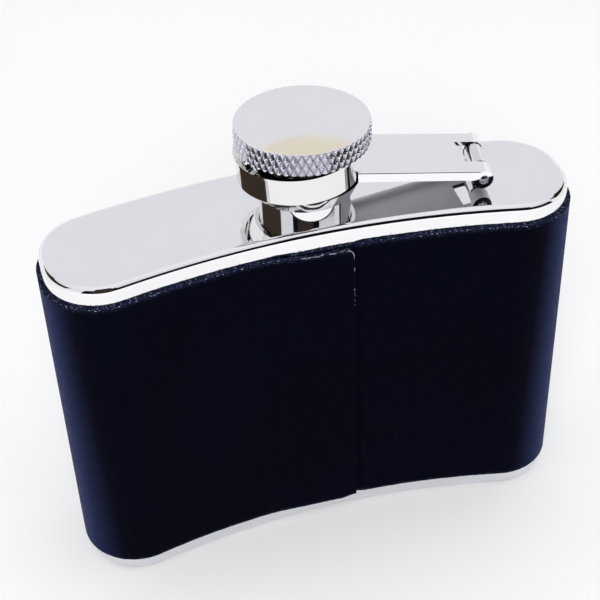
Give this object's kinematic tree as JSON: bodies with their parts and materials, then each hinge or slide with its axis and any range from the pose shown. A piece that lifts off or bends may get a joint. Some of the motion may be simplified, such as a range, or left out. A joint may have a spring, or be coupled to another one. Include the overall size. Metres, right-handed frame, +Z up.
{
  "type": "hip flask",
  "caption": "Curved pocket flask in a leather wrap, with a knurled screw cap held captive on a hinged arm so that it swings clear of the neck.",
  "frame": {"origin": "under the middle of the flask on its base plane; the body's width and depth are centred on it", "axes": "+X along the flask's width towards the hinge, +Y out of its rounded back, +Z up out of the neck"},
  "size_m": [0.0866, 0.0262, 0.0764],
  "materials": {
    "polished_steel": "mirror polished stainless steel",
    "brushed_steel_shell": "plain sheet, hidden by the leather",
    "turned_steel": "fine turned, polished outside",
    "pin_steel": "bright drawn wire with peened heads",
    "rubber_seal": "matte food-grade silicone",
    "leather": "very dark navy, fine grain, low sheen, raw cut edges"
  },
  "bodies": {
    "flask": {"body_shell": "brushed_steel_shell", "bottom_cover": "polished_steel", "top_cover": "polished_steel", "leather_wrap": "leather", "neck": "polished_steel", "hinge_bracket": "polished_steel"},
    "arm": {"captive_collar": "polished_steel", "hinge_arm": "polished_steel", "hinge_pin": "pin_steel"},
    "cap": {"cap_head": "polished_steel", "cap_sleeve": "turned_steel", "cap_gasket": "rubber_seal"}
  },
  "joints": [
    {"name": "arm_swing", "type": "hinge", "parent": "flask", "child": "arm", "pos_m": [0.02841, -0.00082, 0.06417], "axis": [0.1736, 0.9848, 0], "range_deg": [0, 170]},
    {"name": "cap_turn", "type": "hinge", "parent": "arm", "child": "cap", "pos_m": [0, 0.00067, 0.0746], "axis": [0, 0, 1], "continuous": true}
  ]
}
